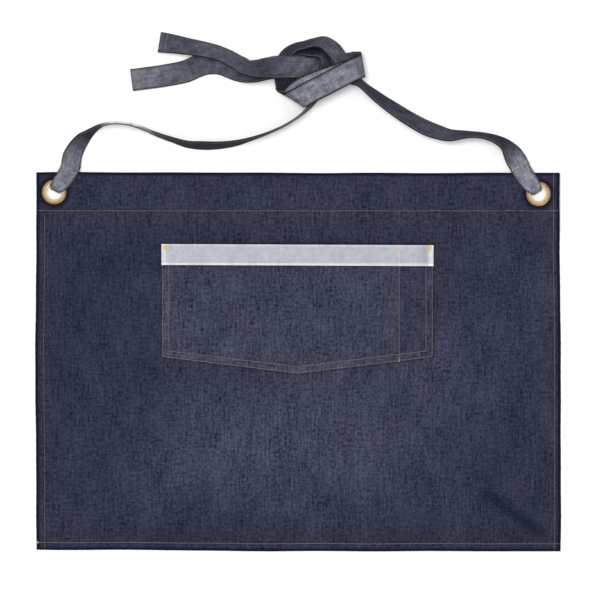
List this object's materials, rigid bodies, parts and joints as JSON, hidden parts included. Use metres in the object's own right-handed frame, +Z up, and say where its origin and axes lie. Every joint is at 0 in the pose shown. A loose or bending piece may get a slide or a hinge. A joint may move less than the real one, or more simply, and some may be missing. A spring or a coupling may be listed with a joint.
{
  "type": "waist apron",
  "caption": "Denim waist apron with a pointed patch pocket, a stitched pen pocket, a pale pocket band, brass eyelets, and two cloth ties knotted together above it.",
  "frame": {"origin": "middle of the underside's footprint, at the table", "axes": "+Z up out of the front face, +Y from the bottom hem towards the ties, +X along the hems towards the pen pocket"},
  "size_m": [0.7, 0.6928, 0.0432],
  "materials": {
    "denim": "washed dark denim",
    "pale_denim": "reverse side of denim",
    "strap_denim": "washed denim",
    "brass": "polished"
  },
  "bodies": {
    "root": {"apron_panel": "denim", "pocket": "denim", "pocket_band": "pale_denim", "eyelet_left": "brass", "eyelet_right": "brass", "eyelet_washer_left": "brass", "eyelet_washer_right": "brass", "tie_left": "strap_denim", "tie_right": "strap_denim"}
  },
  "joints": []
}
